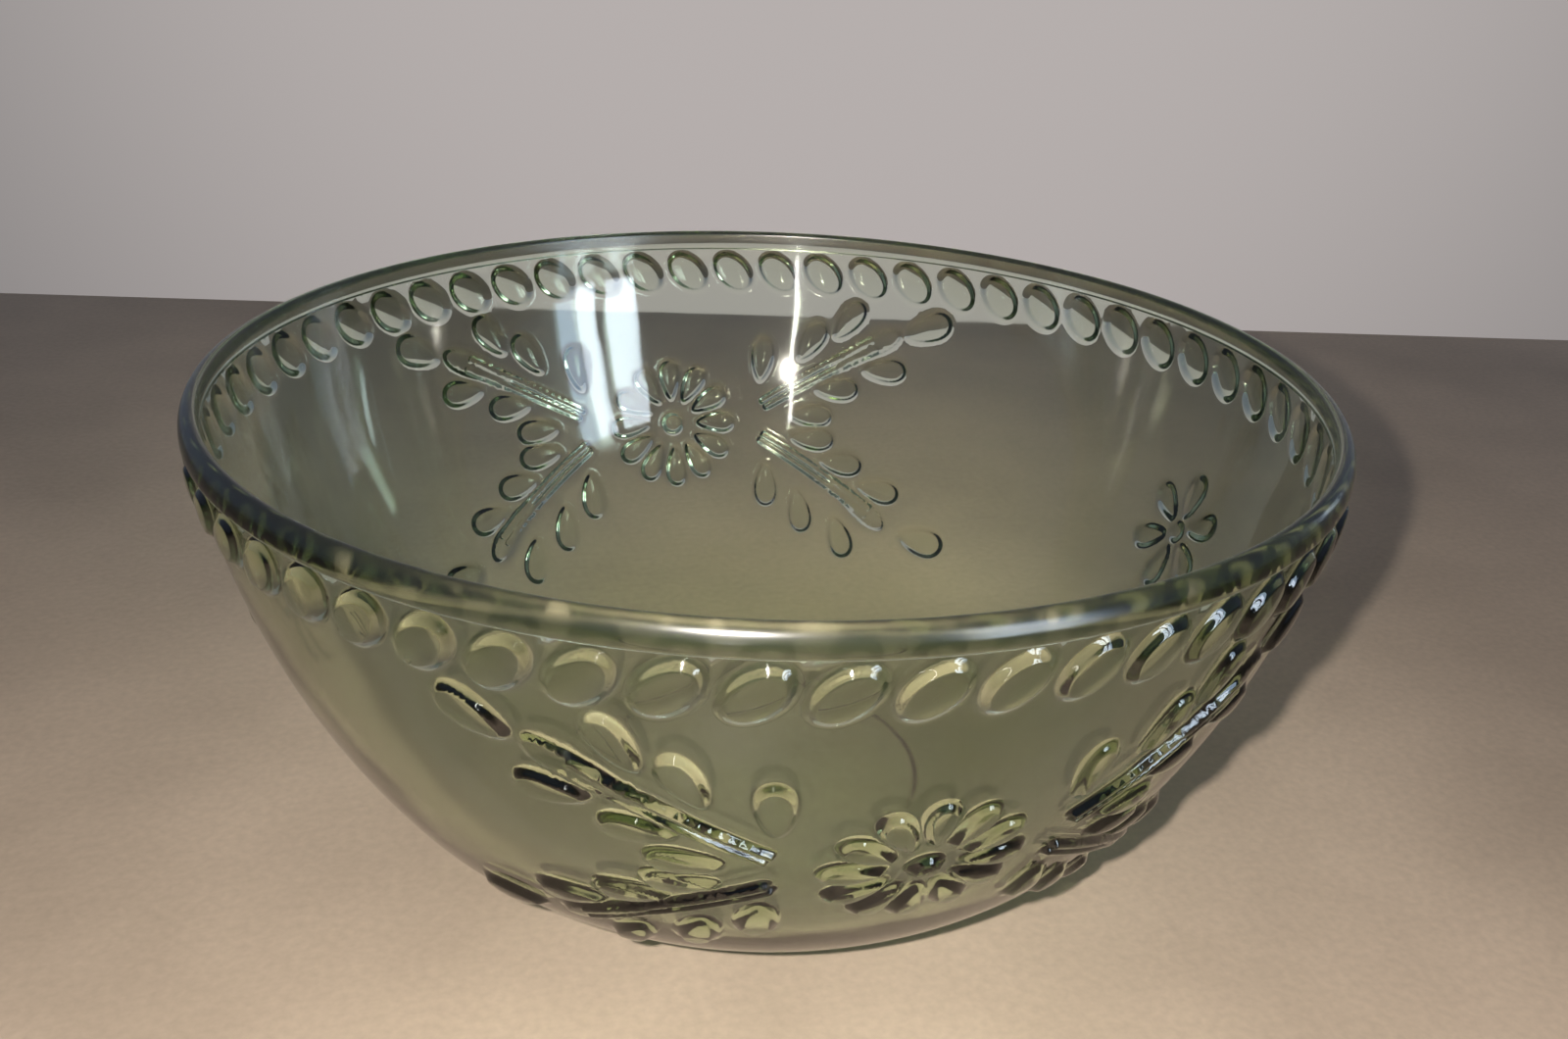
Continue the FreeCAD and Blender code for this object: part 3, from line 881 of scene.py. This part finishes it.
def add_floor():
    """A wide counter whose far edge runs a little way behind the bowl."""
    bpy.ops.object.select_all(action="DESELECT")
    bpy.ops.mesh.primitive_plane_add(size=1)
    floor = bpy.context.active_object
    floor.name = "floor"
    turn = Matrix.Rotation(math.radians(FLOOR_HEADING) - math.pi / 2, 4, "Z")
    for vertex in floor.data.vertices:
        x = FLOOR_SIDE if vertex.co.x > 0 else -FLOOR_SIDE
        y = FLOOR_FAR if vertex.co.y > 0 else -FLOOR_NEAR
        vertex.co = turn @ Vector((x, y, -FLOOR_DROP))
    floor.data.materials.append(floor_material())


def add_window(name, heading, elevation, size, strength, colour):
    """A soft light in a direction from the bowl, turned to face it."""
    data = bpy.data.lights.new(name, "AREA")
    data.shape = "RECTANGLE"
    data.size, data.size_y = size
    data.energy = strength
    data.color = colour
    light = bpy.data.objects.new(name, data)
    bpy.context.collection.objects.link(light)
    a, e = math.radians(heading), math.radians(elevation)
    away = Vector((math.cos(a) * math.cos(e), math.sin(a) * math.cos(e), math.sin(e)))
    light.location = Vector((0, 0, 0.06)) + away * WINDOW_DISTANCE
    light.rotation_mode = "QUATERNION"
    light.rotation_quaternion = away.to_track_quat("Z", "Y")
    return light


def add_windows(bowl):
    """They light the glass alone, so that the counter keeps the lamp's one hard shadow."""
    glass_only = bpy.data.collections.new("glass_only")
    glass_only.objects.link(bowl)
    for window in WINDOWS:
        add_window(*window).light_linking.receiver_collection = glass_only


def add_lamp():
    """A small bright lamp beside the camera, for the bright dots and the hard shadow."""
    data = bpy.data.lights.new("lamp", "POINT")
    data.energy = 6.2
    data.shadow_soft_size = 0.004
    data.color = (1.0, 0.93, 0.86)
    light = bpy.data.objects.new("lamp", data)
    bpy.context.collection.objects.link(light)
    light.location = LAMP_PLACE


# Colours of the surroundings by height, from straight down at 0 to straight up at 1.
FAR_WALL = (
    (0.0, (0.30, 0.27, 0.26)),
    (0.36, (0.46, 0.42, 0.41)),
    (0.62, (0.48, 0.445, 0.435)),
    (0.78, (0.14, 0.13, 0.13)),
    (1.0, (0.07, 0.07, 0.07)),
)
ROOM_FOR_COUNTER = (
    (0.0, (0.07, 0.065, 0.06)),
    (0.50, (0.03, 0.03, 0.03)),
    (0.60, (0.05, 0.05, 0.06)),
    (0.80, (0.09, 0.09, 0.095)),
    (1.0, (0.07, 0.07, 0.07)),
)
ROOM_FOR_GLASS = (
    (0.0, (0.14, 0.14, 0.16)),
    (0.50, (0.15, 0.17, 0.22)),
    (0.60, (0.19, 0.23, 0.32)),
    (0.80, (0.22, 0.24, 0.29)),
    (1.0, (0.18, 0.18, 0.20)),
)
ROOM_SEEN = (0.20, 0.19, 0.19)
WALL_DIRECTION = (0.30, 0.954, 0.0)
WALL_EDGES = (0.74, 1.0)  # how squarely the wall is faced where it begins and is full


def room_colours(tree, height):
    """The room away from the wall: dim for the counter, livelier in the glass, grey seen directly."""
    path = add_node(tree, "LightPath")
    lively = add_ramp(tree, height, ROOM_FOR_GLASS)
    dim = add_ramp(tree, height, ROOM_FOR_COUNTER)
    room = add_blend(tree, path.outputs["Is Diffuse Ray"], lively, dim)
    grey = add_ramp(tree, height, ((0.0, ROOM_SEEN), (1.0, ROOM_SEEN)))
    return add_blend(tree, path.outputs["Is Camera Ray"], room, grey)


def add_world():
    """A pale wall on the far side of the bowl, and a dim room on the near side."""
    world = bpy.data.worlds.new("room")
    bpy.context.scene.world = world
    world.use_nodes = True
    tree = world.node_tree
    tree.nodes.clear()
    out = add_node(tree, "OutputWorld")
    glow = add_node(tree, "Background", Strength=1.0)
    place = add_node(tree, "TexCoord")
    split = add_node(tree, "SeparateXYZ")
    tree.links.new(place.outputs["Generated"], split.inputs["Vector"])
    height = add_range(tree, split.outputs["Z"], (-1.0, 1.0), (0.0, 1.0))
    toward = add_dot(tree, place.outputs["Generated"], WALL_DIRECTION)
    side = add_range(tree, toward, WALL_EDGES, (0.0, 1.0), smooth=True)
    wall = add_ramp(tree, height, FAR_WALL)
    room = room_colours(tree, height)
    both = add_blend(tree, side, room, wall)
    tree.links.new(both, glow.inputs["Color"])
    tree.links.new(glow.outputs["Background"], out.inputs["Surface"])


def render_settings():
    scene = bpy.context.scene
    scene.view_settings.view_transform = "Standard"
    scene.cycles.max_bounces = 16
    scene.cycles.transmission_bounces = 16
    scene.cycles.glossy_bounces = 8
    scene.cycles.diffuse_bounces = 3
    scene.cycles.caustics_refractive = True
    scene.cycles.caustics_reflective = False
    scene.cycles.blur_glossy = 0.5
    scene.cycles.use_denoising = True
    scene.cycles.sample_clamp_indirect = 20.0


bowl = make_bowl()
bowl.data.materials.append(glass_material())
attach(bowl, "root")
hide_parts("bowl")

add_camera()
add_floor()
add_windows(bowl)
add_lamp()
add_world()
render_settings()
